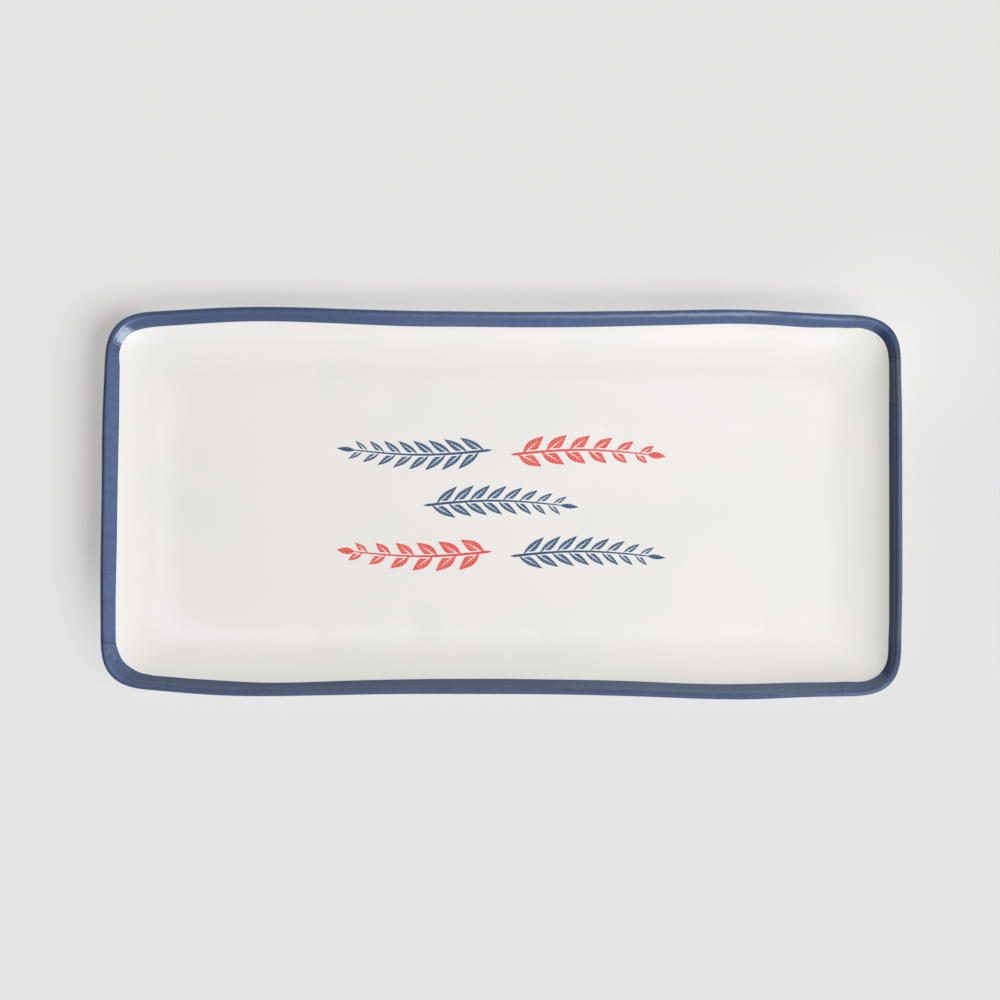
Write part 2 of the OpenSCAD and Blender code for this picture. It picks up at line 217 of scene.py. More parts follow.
def loft_faces(n, m):
    """Quads between m rings of n points, closed round, with a fan at each pole. The first is on top."""
    i, j = np.meshgrid(np.arange(n), np.arange(m - 1), indexing="ij")
    right = (i + 1) % n
    quads = np.stack([i * m + j, i * m + j + 1, right * m + j + 1, right * m + j], -1).reshape(-1, 4)
    one, two = np.arange(n) * m, (np.arange(n) + 1) % n * m
    top = np.stack([np.full(n, n * m), one, two], -1)
    under = np.stack([np.full(n, n * m + 1), two + m - 1, one + m - 1], -1)
    return quads.tolist() + top.tolist() + under.tolist()


def make_piece(name, points, faces, material, nodes, sharp=40):
    """A mesh piece that rides on the platter and stands for those CAD nodes. Edges past the sharp angle
    stay crisp."""
    mesh = bpy.data.meshes.new(name)
    mesh.from_pydata(points.reshape(-1, 3).tolist(), [], faces)
    mesh.shade_smooth()
    mesh.set_sharp_from_angle(angle=math.radians(sharp))
    mesh.materials.append(material)
    piece = new_object(name, mesh)
    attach(piece, "root")
    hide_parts(*nodes)
    return piece


def make_loft(name, grid, material, nodes):
    """A closed solid that follows its rings from the middle of its top to the middle of its underside."""
    n, m = grid.shape[:2]
    poles = [[0, 0, grid[0, 0, 2]], [0, 0, grid[0, -1, 2]]]
    points = np.vstack([grid.reshape(-1, 3), poles])
    make_piece(name, points, loft_faces(n, m), material, nodes)


def step(*stops):
    """Even steps between stops, given as value, count, value, count, value, with each stop once."""
    spans = zip(stops[0:-2:2], stops[1::2], stops[2::2])
    parts = [np.linspace(low, high, count, endpoint=False) for low, count, high in spans]
    return np.concatenate(parts + [[stops[-1]]])


# The places of the rings' points: close together round the corners, and 4 mm apart between them.
round_s = []
for k in range(4):
    round_s.append(MIDDLES[k] + step(-HALF_ARC, 44, HALF_ARC)[:-1])
    round_s.append(MIDDLES[k] + HALF_ARC + step(0.0, int(SIDES[k] / 4.0), SIDES[k])[:-1])
round_s = np.concatenate(round_s)[:, None]


# The floor's crown reaches this far from its middle.
CROWN_X, CROWN_Y = 155.0, 56.0
# Shallow sink marks in the face, as a cooling moulding draws them: x, y, radius and depth.
SINKS = [(-152, 48, 12, 0.3), (-157, 20, 12, 0.3), (-158, -8, 12, 0.3), (-156, -36, 11, 0.15),
         (-54, 53, 10, 0.2), (-88, 68, 8, 0.2), (165, 53, 8, 0.35), (167, -23, 9, 0.35),
         (-91, -68, 8, 0.3), (-42, -63, 8, 0.3), (19, -66, 9, 0.3), (128, -63, 9, 0.3)]


def unevenness(x, y):
    """How far the cooled face stands off its plan: on the floor a slight crown and two slow cosines,
    which fade to nothing at its edge, and a bell curve down for each sink mark."""
    crown = np.clip(1 - (x / (CROWN_X * MM)) ** 2, 0, 1) * np.clip(1 - (y / (CROWN_Y * MM)) ** 2, 0, 1)
    level = crown ** 2
    height = level * (0.16 + 0.1 * np.cos(38 * x + 21 * y + 0.6) + 0.07 * np.cos(64 * x - 47 * y))
    for sink_x, sink_y, radius, depth in SINKS:
        away = ((x / MM - sink_x) ** 2 + (y / MM - sink_y) ** 2) / radius ** 2
        height = height - depth * np.exp(-away)
    return height * MM


def uneven(grid):
    """The same grid of points with the unevenness added to its heights."""
    grid[..., 2] += unevenness(grid[..., 0], grid[..., 1])
    return grid


def floor_rings(s, shares, depth):
    """The floor's edge drawn in towards the middle, where the share is 0, and laid level at that depth."""
    grid = wall(s, np.zeros((1, 1))) * np.array([1, 1, 0]) * shares[None, :, None]
    return uneven(grid + np.array([0, 0, (FLOOR_Z - depth) * MM]))


floor_shares = step(0.03, 26, 1.0)
wall_shares = step(0.0, 30, 1.0)
# The foot ring's profile, from its outer root to its inner one: the way in, and the height.
FOOT_OUTER = FOOT_DRAFT + FOOT_ROUND
foot_arc = step(math.pi, 5, math.pi * 1.5)
outer_way = np.concatenate([[0.0], FOOT_OUTER + FOOT_ROUND * np.cos(foot_arc)])
outer_z = np.concatenate([[FOOT_HEIGHT], FOOT_ROUND * (1 + np.sin(foot_arc))])
foot_way = np.concatenate([outer_way, 2 * FOOT_OUTER + FOOT_WIDTH - outer_way[::-1]])
foot_z = np.concatenate([outer_z, outer_z[::-1]])
# The foil wraps this far round the lip from its crest.
WRAP = math.radians(100)
body_grid = np.concatenate([
    floor_rings(round_s, floor_shares[:-1], FOIL),
    uneven(wall(round_s, wall_shares[None, :-1], FOIL)),
    lip(round_s, step(-LIP_SLOPE, 10, WRAP)[None, :], FOIL),
    lip(round_s, step(WRAP, 6, math.pi - LIP_SLOPE)[None, :-1]),
    wall(round_s, wall_shares[None, ::-1], WALL),
    foot(round_s, foot_way[None, :], foot_z[None, :]),
], axis=1)


def tint(red, green, blue):
    """A colour read off a screen, from 0 to 255, as the light that it stands for."""
    share = np.array([red, green, blue]) / 255
    light = np.where(share > 0.04045, ((share + 0.055) / 1.055) ** 2.4, share / 12.92)
    return (*light.tolist(), 1.0)


def add(tree, kind, inputs=None, **settings):
    """A shader node with its settings, whose inputs are values or the outputs of other nodes."""
    made = tree.nodes.new("ShaderNode" + kind)
    for name, value in settings.items():
        setattr(made, name, value)
    for name, value in (inputs or {}).items():
        if isinstance(value, bpy.types.NodeSocket):
            tree.links.new(value, made.inputs[name])
        else:
            made.inputs[name].default_value = value
    return made


def calc(tree, operation, *values):
    """A sum, product or the like of one, two or three values."""
    return add(tree, "Math", dict(enumerate(values)), operation=operation).outputs[0]


def times(tree, one, other):
    """A product of two values."""
    return calc(tree, "MULTIPLY", one, other)


def vector_calc(tree, operation, *values, output=0):
    """The same as calc, for vectors."""
    return add(tree, "VectorMath", dict(enumerate(values)), operation=operation).outputs[output]


def blend_colours(tree, share, one, other):
    """Colour one where the share is 0, and the other where it is 1."""
    inputs = {0: share, 6: one, 7: other}
    return add(tree, "Mix", inputs, data_type="RGBA").outputs[2]


def ramp(tree, value, low, high, start=0.0, end=1.0):
    """An S-curve from start, where the value is low, to end, where it is high."""
    inputs = {0: value, 1: low, 2: high, 3: start, 4: end}
    return add(tree, "MapRange", inputs, interpolation_type="SMOOTHSTEP").outputs[0]


def split(tree, vector):
    """The three values of a vector."""
    return add(tree, "SeparateXYZ", {0: vector}).outputs


def noise_at(tree, where, scale, detail, roughness=0.5):
    """Noise, from 0 to 1, with about that many spots to a unit of length."""
    inputs = {"Vector": where, "Scale": scale, "Detail": detail, "Roughness": roughness}
    return add(tree, "TexNoise", inputs).outputs[0]


def place(tree):
    """The place on the piece, in metres from the platter's origin."""
    return add(tree, "TexCoord").outputs["Object"]


VECTOR, FLOAT = "NodeSocketVector", "NodeSocketFloat"


def new_group(name, inputs, outputs):
    """A node group with those sockets, and its own input and output nodes."""
    group = bpy.data.node_groups.new(name, "ShaderNodeTree")
    for label, kind in inputs:
        group.interface.new_socket(label, in_out="INPUT", socket_type=kind)
    for label in outputs:
        group.interface.new_socket(label, in_out="OUTPUT", socket_type=FLOAT)
    return group, group.nodes.new("NodeGroupInput").outputs, group.nodes.new("NodeGroupOutput").inputs


def use_group(tree, group, **inputs):
    """An instance of a group with its own values, whose first output is taken."""
    named = {name.replace("_", " "): value for name, value in inputs.items()}
    return add(tree, "Group", named, node_tree=group).outputs[0]


# Soft clouds, from 0 to 1, as in resin that flowed and set unevenly.
clouds, given, put = new_group("clouds", [("Place", VECTOR), ("Size", FLOAT)], ["Share"])
closeness = calc(clouds, "DIVIDE", 1.0, given["Size"])
cloudy = noise_at(clouds, given["Place"], closeness, 3.0, 0.55)
clouds.links.new(ramp(clouds, cloudy, 0.32, 0.68), put["Share"])

# The faint orange peel that a polished press tool leaves, as a height in metres.
peel, given, put = new_group("peel", [("Place", VECTOR), ("Depth", FLOAT)], ["Height"])
coarse = noise_at(peel, given["Place"], 75.0, 1.0)
fine = noise_at(peel, given["Place"], 620.0, 2.0)
both = calc(peel, "ADD", times(peel, coarse, 8.0), fine)
peel.links.new(times(peel, both, given["Depth"]), put["Height"])

# Dark grains: a small round spot in some cells of a flat, uneven honeycomb, and none in the rest.
specks, given, put = new_group(
    "specks", [("Place", VECTOR), ("Spacing", FLOAT), ("Radius", FLOAT)], ["Mask"])
closeness = calc(specks, "DIVIDE", 1.0, given["Spacing"])
cells = add(specks, "TexVoronoi", {"Vector": given["Place"], "Scale": closeness}, voronoi_dimensions="2D")
away = times(specks, cells.outputs["Distance"], given["Spacing"])
spot = calc(specks, "SUBTRACT", 1.0, calc(specks, "DIVIDE", away, given["Radius"]))
chosen = add(specks, "SeparateColor", {0: cells.outputs["Color"]}).outputs[0]
kept = calc(specks, "GREATER_THAN", chosen, 0.62)
spot = add(specks, "Clamp", {0: spot}).outputs[0]
specks.links.new(times(specks, spot, kept), put["Mask"])


def new_material(name, colour, roughness):
    """A material with a Principled shader of one plain colour and roughness, to which a section then
    links its effects."""
    material = bpy.data.materials.new(name)
    material.use_nodes = True
    shader = material.node_tree.nodes["Principled BSDF"]
    shader.inputs["Base Color"].default_value = colour
    shader.inputs["Roughness"].default_value = roughness
    return material, material.node_tree, shader


def bump(tree, shader, height):
    """Height in metres, as bump."""
    made = add(tree, "Bump", {"Height": height, "Distance": 1.0, "Strength": 1.0})
    tree.links.new(made.outputs[0], shader.inputs["Normal"])


# The resin is a warm cream with faint clouds and a few dark grains. The foot's flat face is scuffed.
cream_resin, tree, shader = new_material("cream_resin", tint(240, 234, 225), 0.3)
where = place(tree)
cloud = use_group(tree, clouds, Place=where, Size=0.045)
resin = blend_colours(tree, times(tree, cloud, 0.7), tint(241, 236, 228), tint(236, 229, 219))
grain = use_group(tree, specks, Place=where, Spacing=0.022, Radius=0.00035)
resin = blend_colours(tree, times(tree, grain, 0.5), resin, tint(150, 140, 128))
height = split(tree, where)[2]
scuffs = noise_at(tree, where, 900.0, 3.0)
worn = times(tree, ramp(tree, height, 0.0006, 0.0001), ramp(tree, scuffs, 0.42, 0.6))
resin = blend_colours(tree, times(tree, worn, 0.45), resin, tint(188, 184, 178))
tree.links.new(resin, shader.inputs["Base Color"])
matt = calc(tree, "ADD", times(tree, cloud, 0.06), times(tree, worn, 0.4))
tree.links.new(calc(tree, "ADD", 0.26, matt), shader.inputs["Roughness"])
bump(tree, shader, use_group(tree, peel, Place=where, Depth=0.0000012))
make_loft("platter_moulding", body_grid, cream_resin, ["platter_body"])


# The field is a printed paper foil that the press fuses into the face under a clear glaze. Its edge,
# where the blue border starts, was drawn by hand, so the border is wider in some places than in others.
# By the place round the lap, this is how far in it lies from the outline without its small swells.
BAND_STOPS = [(0, 5.4), (10, 5.55), (22, 6.45), (40, 7.15), (70, 6.5), (110, 7.1), (175, 7.5),
              (220, 7.15), (280, 7.1), (310, 6.9), (362, 7.4), (388, 6.75), (402, 7.55), (430, 7.85),
              (485, 7.8), (525, 7.4), (541, 7.5), (551, 8.05), (561, 8.1), (571, 7.55), (582, 7.2),
              (600, 6.9), (632, 6.4), (680, 7.1), (740, 7.35), (790, 6.9), (835, 7.05), (888, 7.55),
              (912, 6.9), (930, 5.9), (955, 6.4), (970, 6.05), (1005, 5.95), (1060, 5.95), (1100, 5.8)]


def band_inset(s):
    """How far in from the outline the border's inner edge lies. It doesn't follow the small swells."""
    return between_stops(s, BAND_STOPS) + between_stops(s, EDGE_STOPS)


def wall_to_band(s, shares, depth=0.0):
    """The wall from the floor to the border's inner edge."""
    return uneven(wall(s, (RUN - band_inset(s)) / REACH * shares[None, :], depth))


field_shares = step(0.0, 36, 1.0)
field_grid = np.concatenate([
    floor_rings(round_s, floor_shares[:-1], 0.0),
    wall_to_band(round_s, field_shares),
    wall_to_band(round_s, field_shares[::-1], FOIL),
    floor_rings(round_s, floor_shares[-2::-1], FOIL),
], axis=1)
pale_glaze, tree, shader = new_material("pale_glaze", tint(240, 237, 233), 0.2)
where = place(tree)
cloud = use_group(tree, clouds, Place=where, Size=0.11)
small_cloud = use_group(tree, clouds, Place=where, Size=0.03)
paper = blend_colours(tree, cloud, tint(242, 237, 235), tint(240, 236, 233))
paper = blend_colours(tree, times(tree, small_cloud, 0.35), paper, tint(238, 234, 231))
elsewhere = vector_calc(tree, "ADD", where, (0.21, 0.4, 0.0))
green_cloud = use_group(tree, clouds, Place=elsewhere, Size=0.07)
paper = blend_colours(tree, times(tree, green_cloud, 0.5), paper, tint(234, 233, 228))
# A painted highlight makes the paper whitest in the back left corner, beside the border's highlight.
flat_place = vector_calc(tree, "MULTIPLY", where, (1.0, 1.0, 0.0))
from_corner = vector_calc(tree, "DISTANCE", flat_place, (-0.1822, 0.0836, 0.0), output=1)
paper = blend_colours(tree, ramp(tree, from_corner, 0.0095, 0.0), paper, tint(251, 249, 247))
# Along the left part of the front wall it is lighter and yellower: painted light that lifts the shade there.
to_right, to_back, _ = split(tree, where)
painted_light_front = ramp(tree, to_back, -0.071, -0.088)
painted_light_front = times(tree, painted_light_front, ramp(tree, to_right, 0.15, 0.02))
paper = blend_colours(tree, times(tree, painted_light_front, 0.8), paper, tint(249, 247, 239))
grain = use_group(tree, specks, Place=where, Spacing=0.06, Radius=0.0006)
paper = blend_colours(tree, times(tree, grain, 0.22), paper, tint(150, 145, 138))
tree.links.new(paper, shader.inputs["Base Color"])
tree.links.new(calc(tree, "ADD", 0.14, times(tree, cloud, 0.05)), shader.inputs["Roughness"])
bump(tree, shader, use_group(tree, peel, Place=where, Depth=0.0000008))
make_loft("pale_field", field_grid, pale_glaze, ["field_foil"])


# The border is the same foil, printed blue and cut into eight flaps so that it could be bent round the
# corners and over the lip. The flaps' ends press into hairline seams, and some pleats lie beside them.
# How deep the deepest seam is, and how far from it the foil starts to dip.
SEAM_DIP, SEAM_REACH = 0.13, 0.42
# Each corner's two seams, as shares of half its arc before and after its middle.
BEFORE, AFTER = (0.65, 1.27, 0.75, 1.1), (0.65, 0.4, 1.25, 0.7)
seams = np.array([(MIDDLES[k] - BEFORE[k] * HALF_ARC, MIDDLES[k] + AFTER[k] * HALF_ARC)
                  for k in range(4)]).ravel()
seams = np.append(seams, seams[0] + LAP)
# How far the foil is drawn down into each seam, as a share of the deepest, and so how dark its line is.
DRAWN = [0.9, 0.6, 0.25, 1.0, 0.12, 0.3, 0.6, 0.5, 0.9]


def flap_stations(start, end):
    """Steps of about 1.4 mm along a flap, with closer ones by its ends, where it dips into the seams."""
    by_seam = np.array([0, 0.08, 0.18, 0.3, 0.42, 0.7, 1.1])
    pitch, clear = 1.4, 1.6
    inner = step(start + clear, max(8, int((end - start) / pitch)), end - clear)
    return np.concatenate([start + by_seam, inner, end - by_seam[::-1]])[:, None]


up_shares = step(0.0, 12, 1.0)[None, :-1]
over_angles = step(-LIP_SLOPE, 24, WRAP)[None, :]


def flap_face(s, depth):
    """Rows across a flap: from the border's inner edge up the wall, over the lip and just past its
    outermost line."""
    start = (RUN - band_inset(s)) / REACH
    up = uneven(wall(s, start + (1 - start) * up_shares, depth))
    return np.concatenate([up, lip(s, over_angles, depth)], axis=1)


def flap_insets(s):
    """How far in each point of a flap's face lies, from the outline without its small swells. Past the
    outermost line it is taken as below 0."""
    start = (RUN - band_inset(s)) / REACH
    up = RUN - REACH * (start + (1 - start) * up_shares)
    over = LIP * (1 - np.sin(over_angles)) * np.where(over_angles > math.pi / 2, -1, 1)
    return np.concatenate([up, over + 0 * s], axis=1) - between_stops(s, EDGE_STOPS)


def set_vertex_values(mesh, name, values):
    """A value for each vertex, which the material reads by that name."""
    mesh.attributes.new(name, "FLOAT", "POINT").data.foreach_set("value", values.ravel())


def vertex_value(tree, name):
    """The vertices' values of that name, in a material."""
    return add(tree, "Attribute", attribute_name=name).outputs["Fac"]


def set_uv(mesh, name, uv):
    """A UV map from one pair of values for each vertex."""
    corner = np.zeros(len(mesh.loops), dtype=np.int32)
    mesh.loops.foreach_get("vertex_index", corner)
    corner_uv = uv.reshape(-1, 2)[corner].astype(np.float32)
    mesh.uv_layers.new(name=name).data.foreach_set("uv", corner_uv.ravel())


def make_flap(name, start, end, drawn):
    """A closed strip of foil: its face, its underside, and a face across each end."""
    s = flap_stations(start, end)
    from_seam = np.minimum(s - start, end - s)
    seam_depth = np.where(s - start < end - s, drawn[0], drawn[1])
    dip = SEAM_DIP * seam_depth * np.clip(1 - from_seam / SEAM_REACH, 0, 1) ** 2
    face = flap_face(s, dip)
    grid = np.concatenate([face, flap_face(s, np.full_like(s, FOIL))[:, ::-1]], axis=1)
    n, m = grid.shape[:2]
    i, j = np.meshgrid(np.arange(n - 1), np.arange(m), indexing="ij")
    after = (j + 1) % m
    faces = np.stack([i * m + j, i * m + after, (i + 1) * m + after, (i + 1) * m + j], -1).reshape(-1, 4)
    row = np.arange(m // 2 - 1)
    first = np.stack([row, m - 1 - row, m - 2 - row, row + 1], -1)
    last = first[:, ::-1] + (n - 1) * m
    faces = np.concatenate([faces, first, last]).tolist()
    piece = make_piece(name + "_flap", grid, faces, blue_ink, [name], sharp=55)
    across = np.cumsum(np.linalg.norm(np.diff(face, axis=1, prepend=face[:, :1]), axis=2), axis=1)
    across = np.concatenate([across, across[:, ::-1]], axis=1)
    along = np.broadcast_to(s * MM, across.shape)
    set_uv(piece.data, "along_border", np.stack([along, across], -1))
    set_vertex_values(piece.data, "from_seam", np.broadcast_to(from_seam * MM, across.shape))
    set_vertex_values(piece.data, "seam_depth", np.broadcast_to(seam_depth, across.shape))
    insets = flap_insets(s)
    set_vertex_values(piece.data, "inset", np.concatenate([insets, insets[:, ::-1]], axis=1) * MM)


# A pleat is a thin dark line from one place on the border to another, seen from above.
pleat, given, put = new_group(
    "foil_pleat", [("Place", VECTOR), ("Start", VECTOR), ("End", VECTOR), ("Width", FLOAT)], ["Mask"])
flat = vector_calc(pleat, "MULTIPLY", given["Place"], (1.0, 1.0, 0.0))
reach = vector_calc(pleat, "SUBTRACT", given["End"], given["Start"])
ahead = vector_calc(pleat, "SUBTRACT", flat, given["Start"])
share = calc(pleat, "DIVIDE", vector_calc(pleat, "DOT_PRODUCT", ahead, reach, output=1),
             vector_calc(pleat, "DOT_PRODUCT", reach, reach, output=1))
share = add(pleat, "Clamp", {0: share}).outputs[0]
nearest = add(pleat, "VectorMath", {0: reach, "Scale": share}, operation="SCALE").outputs[0]
beside = vector_calc(pleat, "DISTANCE", ahead, nearest, output=1)
pleat.links.new(ramp(pleat, calc(pleat, "DIVIDE", beside, given["Width"]), 1.0, 0.0), put["Mask"])

# Ink that was brushed along Y: streaks and small blots, from 0 to 1. On the border, Y runs across it.
brushed, given, put = new_group("brushed_ink", [("Place", VECTOR), ("Stretch", FLOAT)], ["Share"])
stretch = add(brushed, "CombineXYZ", {0: 1.0, 1: given["Stretch"], 2: 1.0}).outputs[0]
drawn = vector_calc(brushed, "MULTIPLY", given["Place"], stretch)
streaks = noise_at(brushed, drawn, 480.0, 1.5)
blots = noise_at(brushed, given["Place"], 170.0, 3.0)
ink_sum = calc(brushed, "ADD", times(brushed, streaks, 0.6), times(brushed, blots, 0.4))
brushed.links.new(ramp(brushed, ink_sum, 0.34, 0.66), put["Share"])

# A soft wash of colour on a part of the border, used for ink and for painted highlight and shade. Its middle
# and half its length are measured round the lap, its depth and half its breadth in from the outer edge. Each
# fade reaches as far inwards as outwards.
labels = ["Along", "Inset", "Middle", "Half Length", "Fade", "Depth", "Half Breadth", "Side Fade"]
wash, given, put = new_group("ink_and_painted_light_wash", [(label, FLOAT) for label in labels], ["Mask"])
from_middle = calc(wash, "SUBTRACT", given["Along"], given["Middle"])
from_middle = calc(wash, "PINGPONG", from_middle, LAP * MM / 2)
lengthwise = ramp(wash, from_middle, calc(wash, "ADD", given["Half Length"], given["Fade"]),
                  calc(wash, "SUBTRACT", given["Half Length"], given["Fade"]))
from_depth = calc(wash, "ABSOLUTE", calc(wash, "SUBTRACT", given["Inset"], given["Depth"]))
crosswise = ramp(wash, from_depth, calc(wash, "ADD", given["Half Breadth"], given["Side Fade"]),
                 calc(wash, "SUBTRACT", given["Half Breadth"], given["Side Fade"]))
wash.links.new(times(wash, lengthwise, crosswise), put["Mask"])

# Each pleat's two ends, as places round the lap and distances in from the outer edge, its width, and how
# dark it is.
PLEATS = [
    (-38.8, 0.2, -38.4, 4.0, 0.6, 0.45), (-14.2, 4.6, -12.9, 5.4, 2.2, 0.6),
    (-13.6, 0.5, -15.0, 6.0, 0.8, 0.6), (-13.4, 2.0, -12.2, 6.0, 0.8, 0.5),
    (4.5, 0.3, 5.0, 4.2, 0.5, 0.4), (15.4, 0.3, 15.3, 6.0, 0.5, 0.45),
    (387.0, 0.3, 387.6, 5.8, 0.6, 0.4), (398.9, 0.6, 398.9, 7.0, 0.5, 0.3),
    (414.8, 0.5, 414.8, 5.5, 0.5, 0.25), (415.9, 0.5, 415.9, 5.0, 0.4, 0.2),
    (540.1, 0.2, 543.3, 7.0, 0.8, 0.9), (563.0, 0.3, 565.0, 3.5, 0.5, 0.35),
    (584.2, 0.8, 585.2, 4.0, 0.9, 0.4), (907.9, 0.8, 908.2, 6.3, 0.4, 0.25),
    (950.2, 0.2, 950.2, 2.6, 0.45, 0.45), (957.7, 0.2, 957.7, 2.6, 0.45, 0.4),
    (978.2, 0.3, 978.2, 2.4, 0.4, 0.25), (1022.0, 0.8, 1022.0, 2.6, 0.5, 0.2),
]


def on_border(s, inset):
    """The place on the border, seen from above, in metres."""
    x, y, _ = rings(np.array(s), inset, 1.0, -inset, 0.0)
    return float(x), float(y), 0.0


# Each wash's middle, half length and fade, its depth, half breadth and side fade, its colour, how strong
# it is, and how much of the gloss it takes away. Depths are from the outline without its small swells.
WASHES = [
    # A painted highlight along the crest of the back edge's right half, in lighter blue.
    (10, 9, 6, 1.6, 0.2, 0.7, (116, 134, 164), 0.6, 0),
    (33, 12, 6, 2.4, 0.4, 0.7, (117, 137, 170), 0.85, 0),
    (69, 12, 8, 1.5, 0.4, 0.7, (134, 151, 180), 0.85, 0),
    (88, 26, 14, 2.2, 0.5, 0.7, (119, 138, 170), 0.95, 0),
    (132, 38, 34, 2.5, 0.5, 0.8, (112, 132, 166), 0.55, 0),
    # Darker, duller blue past the crest on the left side, which is painted shade on the flank that faces
    # away from the lamp, and on the back edge's left half, in the back right corner, and down the right side
    # to the front right corner, where it reaches further out.
    (465, 80, 9, 0.0, 1.6, 1.7, (22, 30, 58), 0.62, 0.5),
    (312, 64, 44, 4.0, 6.0, 1.0, (30, 48, 88), 0.4, 0.45),
    (332, 42, 18, 2.3, 0.2, 0.7, (26, 42, 80), 0.4, 0.5),
    (1110, 9, 5, 3.5, 4.5, 1.0, (34, 42, 72), 0.6, 0.6),
    (1028, 72, 8, 3.2, 1.9, 0.8, (46, 54, 76), 0.48, 0.6),
    (947, 10, 4, 3.4, 3.4, 1.0, (38, 46, 70), 0.55, 0.5),
    (938, 16, 7, 1.2, 0.9, 1.1, (44, 58, 92), 0.6, 0.6),
    # Deeper blue on both sides of the back left corner's crumpled bend: painted shade that dims the glare
    # round its highlight.
    (371.5, 3.2, 1.5, 5.8, 1.7, 0.9, (34, 52, 104), 0.4, 0.55),
    (388.0, 1.6, 0.9, 5.5, 1.0, 0.7, (34, 50, 98), 0.35, 0.5),
    # Paler and greyer blue on the inner part of the front, more of it towards the right: a painted
    # reflection of the bright back.
    (852, 66, 34, 5.0, 2.6, 0.7, (84, 100, 126), 0.85, 0),
    (740, 44, 34, 5.0, 2.6, 0.7, (82, 97, 122), 0.35, 0),
    # Deep blue on the outer part of the front.
    (733, 176, 14, 0.4, 1.6, 0.8, (30, 46, 92), 0.6, 0.5),
    # A darker rim round the front left corner.
    (576, 30, 8, 0.5, 0.9, 1.0, (32, 46, 84), 0.42, 0.5),
    # A paler patch in the front left corner, and two worn spots and a dark one beside it.
    (557.5, 5.6, 0.7, 4.9, 4.4, 0.8, (98, 118, 158), 0.2, 0),
    (546.0, 1.2, 1.2, 4.0, 0.4, 0.6, (140, 160, 200), 0.21, 0),
    (550.6, 1.6, 1.2, 5.6, 0.45, 0.6, (140, 160, 200), 0.26, 0),
    (553.6, 1.5, 2.0, 6.2, 0.8, 0.8, (36, 54, 100), 0.5, 0),
]

blue_ink, tree, shader = new_material("blue_ink", tint(53, 79, 127), 0.3)
where = place(tree)
lines = add(tree, "UVMap", uv_map="along_border").outputs[0]
streak = use_group(tree, brushed, Place=lines, Stretch=0.4)
ink = blend_colours(tree, streak, tint(49, 75, 121), tint(58, 84, 132))
patch = use_group(tree, clouds, Place=where, Size=0.02)
ink = blend_colours(tree, times(tree, patch, 0.3), ink, tint(50, 76, 112))
# The inner part of the border is greyer along the right side, and about half as grey along the front, where
# the grey is a painted reflection of the bright back.
to_right, to_back, _ = split(tree, where)
along, across, _ = split(tree, lines)
grey = times(tree, ramp(tree, to_right, 0.178, 0.188), ramp(tree, to_back, 0.082, 0.07))
grey = calc(tree, "MAXIMUM", grey, ramp(tree, to_back, -0.065, -0.085, 0.0, 0.55))
further_out = calc(tree, "SUBTRACT", across, ramp(tree, to_back, -0.065, -0.085, 0.0, 0.0007))
grey = times(tree, grey, ramp(tree, further_out, 0.0085, 0.0055))
ink = blend_colours(tree, grey, ink, tint(67, 76, 100))
# The washes' edges wander by less than a millimetre.
wander = calc(tree, "SUBTRACT", use_group(tree, clouds, Place=where, Size=0.004), 0.5)
along = calc(tree, "ADD", along, times(tree, wander, 0.0016))
inset = calc(tree, "ADD", vertex_value(tree, "inset"), times(tree, wander, 0.0005))
dull = 0.0
for middle, half, fade, depth, breadth, side_fade, colour, strength, dulling in WASHES:
    mask = use_group(tree, wash, Along=along, Inset=inset, Middle=middle * MM, Half_Length=half * MM,
                     Fade=fade * MM, Depth=depth * MM, Half_Breadth=breadth * MM, Side_Fade=side_fade * MM)
    ink = blend_colours(tree, times(tree, mask, strength), ink, tint(*colour))
    if dulling:
        dull = calc(tree, "MAXIMUM", dull, times(tree, mask, dulling))
# The seams and the pleats are dark lines.
dark = ramp(tree, vertex_value(tree, "from_seam"), 0.00034, 0.0001)
dark = times(tree, times(tree, dark, vertex_value(tree, "seam_depth")), 0.85)
for start, outer, end, inner, width, strength in PLEATS:
    line = use_group(tree, pleat, Place=where, Start=on_border(start, outer), End=on_border(end, inner),
                     Width=width * MM)
    dark = calc(tree, "MAXIMUM", dark, times(tree, line, strength))
ink = blend_colours(tree, dark, ink, tint(16, 22, 42))
tree.links.new(ink, shader.inputs["Base Color"])
tree.links.new(calc(tree, "ADD", 0.2, times(tree, streak, 0.03)), shader.inputs["Roughness"])
gloss = times(tree, calc(tree, "SUBTRACT", 1.0, dull), 0.9)
tree.links.new(gloss, shader.inputs["Coat Weight"])
shader.inputs["Coat Roughness"].default_value = 0.1
skin = use_group(tree, peel, Place=where, Depth=0.0000012)
# The foil is crumpled a little in the back left corner.
crumpled = use_group(tree, wash, Along=along, Inset=inset, Middle=0.3795, Half_Length=0.006, Fade=0.004,
                     Depth=0.005, Half_Breadth=0.004, Side_Fade=0.001)
crumple = times(tree, times(tree, crumpled, noise_at(tree, lines, 380.0, 1.0)), 0.0003)
skin = calc(tree, "ADD", skin, crumple)
bump(tree, shader, calc(tree, "SUBTRACT", skin, times(tree, dark, 0.00003)))

border_names = ["border_back_right", "border_back", "border_back_left", "border_left",
                "border_front_left", "border_front", "border_front_right", "border_right"]
for k, name in enumerate(border_names):
    make_flap(name, seams[k], seams[k + 1], DRAWN[k:k + 2])


# The five sprigs are block prints in the foil: an arched stem and pairs of leaves that shrink towards
# its tip. Three are navy with narrow leaves, two coral with broad ones, and fine lines are left light.
SPRIG, BOW, STEM, LEAF_GAP, RIB = 76.0, 2.4, 1.3, 0.6, 0.5
NARROW_LEAF, BROAD_LEAF = 13.0, 12.5
LEAN = math.radians(36)
